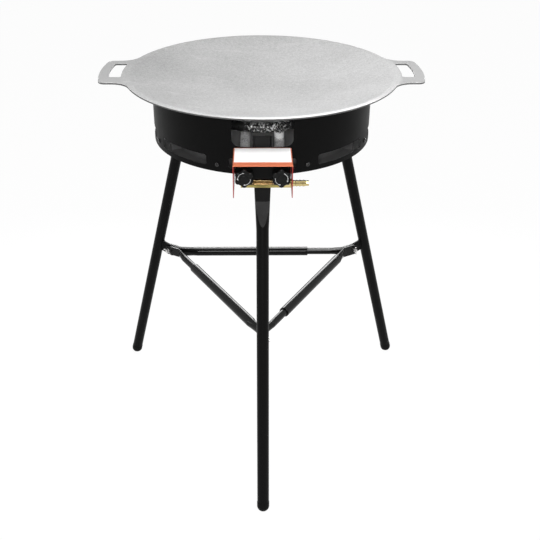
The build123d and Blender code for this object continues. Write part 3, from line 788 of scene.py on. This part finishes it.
def arrow_outline(start, end):
    """Curved shaft from start to end, then a pointed head."""
    way = 1 if end > start else -1
    begin = radians(start)
    neck = radians(end) - way * arrow_head_turn
    angles = [begin + (neck - begin) * step / arrow_steps for step in range(arrow_steps + 1)]
    rows = [(arrow_radius + arrow_half_width, angle) for angle in angles]
    rows.append((arrow_radius + arrow_head_half, neck))
    rows.append((arrow_radius, radians(end)))
    rows.append((arrow_radius - arrow_head_half, neck))
    rows.extend((arrow_radius - arrow_half_width, angle) for angle in reversed(angles))
    return [(radius * cos(angle), radius * sin(angle)) for radius, angle in rows]


def knob_marks():
    """The arrows on each knob's face, on the knob's body."""
    for hand, arrows in knob_arrows.items():
        row = joint_row(f"{hand}_knob_turn")
        centre = Vector(row["pos_m"])
        disc_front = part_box(f"{hand}_knob")[0][1]
        face = disc_front + knob_disc_step
        work = bmesh.new()
        for start, end in arrows:
            slab(work, arrow_outline(start, end), face - arrow_thick, face + arrow_thick)
        mesh = mesh_of(f"{hand}_knob_arrows", work, Matrix.Translation((centre.x, 0, centre.z)))
        add_piece(f"{hand}_knob_arrows", mesh, "mark_white", f"{hand}_knob_group")


# Screws: pan heads with a cross recess, each (radius, height)
drum_screw_count = 8
drum_screw = (0.0044, 0.0026)
panel_screw = (0.0038, 0.0022)
shield_sheet = 0.0015
ear_screw_half = 0.009
ear_screw_drop = 0.011

# Shares of a screw head's radius and height: its flat middle, and its cross
head_flat = 0.45
head_steps = 6
head_sides = 32
cross_length = 1.15
cross_width = 0.26
cross_height = 0.9
cross_middle = 0.95


def screw_head(name, radius, height):
    """Domed head standing on z = 0, with a cross cut into its top."""
    work = bmesh.new()
    profile = [(0.0, height)]
    for step in range(1, head_steps + 1):
        angle = radians(90 / head_steps * step)
        across = head_flat + (1 - head_flat) * sin(angle)
        up = head_flat + (1 - head_flat) * cos(angle)
        profile.append((radius * across, height * up))
    profile.append((radius, 0.0))
    profile.append((0.0, 0.0))
    lathe(work, profile, head_sides)
    head = mesh_of(name, work)
    cutter_work = bmesh.new()
    shape = Matrix.Diagonal((radius * cross_length, radius * cross_width, height * cross_height, 1))
    lift = Matrix.Translation((0, 0, height * cross_middle))
    for turn in (0, 90):
        made = bmesh.ops.create_cube(cutter_work, size=1.0)["verts"]
        place = lift @ Matrix.Rotation(radians(turn), 4, "Z")
        bmesh.ops.transform(cutter_work, matrix=place @ shape, verts=made)
    cutter_mesh = bpy.data.meshes.new(name + "_cross")
    cutter_work.to_mesh(cutter_mesh)
    cutter_work.free()
    cutter = bpy.data.objects.new(name + "_cross", cutter_mesh)
    bpy.context.scene.collection.objects.link(cutter)
    cross = {"operation": "DIFFERENCE", "solver": "EXACT", "use_self": True, "object": cutter}
    result = evaluated(name, head, ("BOOLEAN", cross))
    bpy.data.objects.remove(cutter)
    return result


def screws_on_points(finish):
    """One screw head at each point, turned to face as the point does."""
    recipe = Recipe(f"screws_in_{finish}", Screw="NodeSocketObject")
    vector = {"data_type": "FLOAT_VECTOR"}
    facing = recipe.node("GeometryNodeInputNamedAttribute", vector, {"Name": "facing"})
    turn = recipe.node("FunctionNodeAlignRotationToVector", {"axis": "Z"}, {"Vector": facing})
    quarter = {0: (0, 0, 0), 1: (0, 0, pi / 2), "Seed": 5}
    spin = recipe.node("FunctionNodeRandomValue", vector, quarter)
    local = {"rotation_space": "LOCAL"}
    turned = recipe.node("FunctionNodeRotateRotation", local, {0: turn, 1: spin})
    chosen = {"Object": recipe.input("Screw")}
    screw = recipe.node("GeometryNodeObjectInfo", None, chosen, "Geometry")
    placed = recipe.node(
        "GeometryNodeInstanceOnPoints",
        None,
        {"Points": recipe.input("Geometry"), "Instance": screw, "Rotation": turned},
    )
    recipe.end(placed, finishes[finish])
    return recipe


def points_mesh(name, rows):
    """A mesh of bare points, each with the way that it faces."""
    mesh = bpy.data.meshes.new(name)
    mesh.from_pydata([place for place, way in rows], [], [])
    facing = mesh.attributes.new("facing", "FLOAT_VECTOR", "POINT")
    for item, (place, way) in zip(facing.data, rows):
        item.vector = way
    return mesh


def set_screws(name, finish, rows, size, *replaced):
    """Screws of one size, (radius, height), on the drum's body; rows holds (place, way) pairs."""
    recipe = screws_on_points(finish)
    head = bpy.data.objects.new(name + "_head", screw_head(name + "_head", *size))
    bpy.context.scene.collection.objects.link(head)
    mesh = evaluated(name, points_mesh(name, rows), recipe.modifier(Screw=head))
    bpy.data.objects.remove(head)
    add_piece(f"{name}_crossed", mesh, finish, "burner_drum", *replaced)


def screws():
    """Screws between the drum's vents, in the control shield's ears and on its label."""
    low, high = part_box("drum_screws")
    height = (low[2] + high[2]) / 2
    rows = []
    for count in range(drum_screw_count):
        angle = 2 * pi * (count + 0.5) / drum_screw_count
        way = Vector((cos(angle), sin(angle), 0))
        rows.append((axis + Vector((0, 0, height)) + way * drum_radius, way))
    set_screws("drum_screws", "screw_black", rows, drum_screw, "drum_screws")
    low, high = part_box("shield_screws")
    shield_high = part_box("control_shield")[1]
    top = shield_high[2]
    ear = shield_high[1] - shield_sheet
    panel_radius = panel_screw[0]
    forward = Vector((0, -1, 0))
    upward = Vector((0, 0, 1))
    ears = []
    tops = []
    for side in (-1, 1):
        ears.append((Vector((side * ear_screw_half, ear, top - ear_screw_drop)), forward))
        across = high[0] - panel_radius
        tops.append((Vector((side * across, low[1] + panel_radius, top)), upward))
    set_screws("shield_screws", "zinc_steel", ears, panel_screw, "shield_screws")
    set_screws("label_screws", "label_white", tops, panel_screw)


# Weld beads: overlapping ripples along a seam
bead_step = 0.0016
bead_radius = 0.0017
leg_radius = 0.0125
tab_half_thick = 0.002
tab_half_height = 0.0132


def weld_bead():
    """Drops of uneven size set along a seam."""
    recipe = Recipe("weld_bead", Step="NodeSocketFloat", Radius="NodeSocketFloat")
    seam = recipe.node("GeometryNodeMeshToCurve", None, {"Mesh": recipe.input("Geometry")})
    even = {"Curve": seam, "Length": recipe.input("Step")}
    steps = recipe.node("GeometryNodeResampleCurve", {"mode": "LENGTH"}, even)
    ball = {"Segments": 12, "Rings": 8, "Radius": recipe.input("Radius")}
    drop = recipe.node("GeometryNodeMeshUVSphere", None, ball)
    uneven = {2: 0.85, 3: 1.15, "Seed": 3}
    size = recipe.node("FunctionNodeRandomValue", {"data_type": "FLOAT"}, uneven, 1)
    row = {"Points": steps, "Instance": drop, "Scale": size}
    placed = recipe.node("GeometryNodeInstanceOnPoints", None, row)
    recipe.end(placed, finishes["black_paint"])
    return recipe


def leg_welds():
    """Beads down both sides of each brace tab, where it meets the leg's tube."""
    recipe = weld_bead()
    mounts = {row["name"]: row for row in frame["record"]["mounts"]}
    for side in ("front", "right", "left"):
        swing = joint_row(f"{side}_leg_swing")
        pin = Vector(swing["pos_m"])
        across = Vector(swing["axis"]).normalized()
        foot = Vector(mounts[f"{side}_foot"]["pos_m"])
        bolt = Vector(joint_row(f"{side}_wing_nut_turn")["pos_m"])
        down = (foot - pin).normalized()
        middle = pin + down * (bolt - pin).dot(down)
        inward = (bolt - middle).normalized()
        seam = middle + inward * leg_radius
        verts = []
        edges = []
        for hand in (-1, 1):
            for end in (-1, 1):
                verts.append(seam + across * hand * tab_half_thick + down * end * tab_half_height)
            edges.append((len(verts) - 2, len(verts) - 1))
        mesh = bpy.data.meshes.new(f"{side}_tab_weld")
        mesh.from_pydata(verts, edges, [])
        ripples = recipe.modifier(Step=bead_step, Radius=bead_radius)
        bead = evaluated(f"{side}_tab_weld", mesh, ripples)
        add_piece(f"{side}_tab_weld", bead, "black_paint", f"{side}_leg_group")


def seen_directly(tree, mirrored=1.0):
    """1 for rays from the camera or through glass, a share for mirror rays, 0 for light."""
    path = tree.node("ShaderNodeLightPath").socket.node
    camera_ray, mirror_ray, glass_ray = (
        Wire(tree, path.outputs[f"Is {kind} Ray"]) for kind in ("Camera", "Glossy", "Transmission")
    )
    return (camera_ray + mirror_ray * mirrored + glass_ray).at_most(1.0)


def pale_floor():
    """Pale and matt, lifted to white for the camera without losing the shadow."""
    material = bpy.data.materials.new("pale_floor")
    material.use_nodes = True
    material.node_tree.nodes.clear()
    tree = Tree(material.node_tree)
    matt = tree.node("ShaderNodeBsdfDiffuse", None, {"Color": grey(floor_level)})
    glow = tree.node("ShaderNodeEmission")
    seen = seen_directly(tree) * floor_white
    mixed = tree.node("ShaderNodeMixShader", None, {0: seen, 1: matt, 2: glow})
    tree.node("ShaderNodeOutputMaterial", None, {"Surface": mixed}, None)
    return material


def floor():
    """A plain pale floor under the feet."""
    mesh = bpy.data.meshes.new("floor")
    square = ((-1, -1), (1, -1), (1, 1), (-1, 1))
    corners = [(x * floor_half, y * floor_half, 0) for x, y in square]
    mesh.from_pydata(corners, [], [(0, 1, 2, 3)])
    piece = bpy.data.objects.new("floor", mesh)
    bpy.context.scene.collection.objects.link(piece)
    mesh.materials.append(pale_floor())


def sky():
    """White behind the object, even grey as light; mirrors show white only towards the backdrop."""
    world = bpy.data.worlds.new("studio")
    bpy.context.scene.world = world
    world.use_nodes = True
    world.node_tree.nodes.clear()
    tree = Tree(world.node_tree)
    way = tree.node("ShaderNodeTexCoord", output=0)
    depth = tree.node("ShaderNodeSeparateXYZ", None, {0: way}, 1)
    limits = {"Value": depth, "From Min": backdrop_start, "From Max": backdrop_end}
    backdrop = tree.node("ShaderNodeMapRange", {"clamp": True}, limits)
    light = tree.node("ShaderNodeBackground", None, {"Color": grey(sky_level)})
    white = tree.node("ShaderNodeBackground", None, {"Color": grey(1.0)})
    seen = seen_directly(tree, backdrop)
    mixed = tree.node("ShaderNodeMixShader", None, {0: seen, 1: light, 2: white})
    tree.node("ShaderNodeOutputWorld", None, {"Surface": mixed}, None)


def softbox(name, place, target, size, power):
    """A soft lamp of some size, in metres, and power, in watts."""
    light = bpy.data.lights.new(name, "AREA")
    light.shape = "RECTANGLE"
    light.size, light.size_y = size
    light.energy = power
    lamp = bpy.data.objects.new(name, light)
    lamp.location = place
    lamp.rotation_euler = (target - Vector(place)).to_track_quat("-Z", "Y").to_euler()
    bpy.context.scene.collection.objects.link(lamp)


# Two keys in front, weak fills, and a low lamp behind that lines the braces:
# each with its place, the point that it lights, its width and height, and its power
stand_middle = axis + Vector((0, 0, 0.6))
brace_middle = Vector((0, 0, 0.35))
lamps = (
    ("front_light", (-0.15, -2.5, 1.73), stand_middle, (0.9, 0.6), 50),
    ("high_light", (0.3, -1.4, 3.1), stand_middle, (0.9, 0.6), 37),
    ("back_light", (0.1, 1.3, 2.4), stand_middle, (0.7, 0.5), 2),
    ("low_back_light", (0.0, 0.85, 0.69), brace_middle, (1.4, 0.28), 14),
    ("left_light", (-2.4, -0.2, 1.6), stand_middle, (0.4, 1.8), 6),
    ("right_light", (2.1, -1.3, 1.7), stand_middle, (0.4, 1.4), 12),
)


def camera():
    """The photograph's camera."""
    flat = cos(camera_pitch)
    forward = Vector((sin(camera_heading) * flat, cos(camera_heading) * flat, -sin(camera_pitch)))
    level = Vector((cos(camera_heading), -sin(camera_heading), 0))
    lift = level.cross(forward)
    right = level * cos(camera_roll) + lift * sin(camera_roll)
    up = lift * cos(camera_roll) - level * sin(camera_roll)
    data = bpy.data.cameras.new("photo_camera")
    data.lens = camera_lens
    data.sensor_width = sensor_width
    data.sensor_fit = "HORIZONTAL"
    eye = bpy.data.objects.new("photo_camera", data)
    turn = Matrix((right, up, -forward)).transposed().to_4x4()
    eye.matrix_world = Matrix.Translation(camera_place) @ turn
    bpy.context.scene.collection.objects.link(eye)
    bpy.context.scene.camera = eye


finishes = dress_nodes()
wing_nuts()
knob_marks()
screws()
leg_welds()
floor()
sky()
for lamp in lamps:
    softbox(*lamp)
camera()
bpy.context.scene.view_settings.view_transform = "Standard"
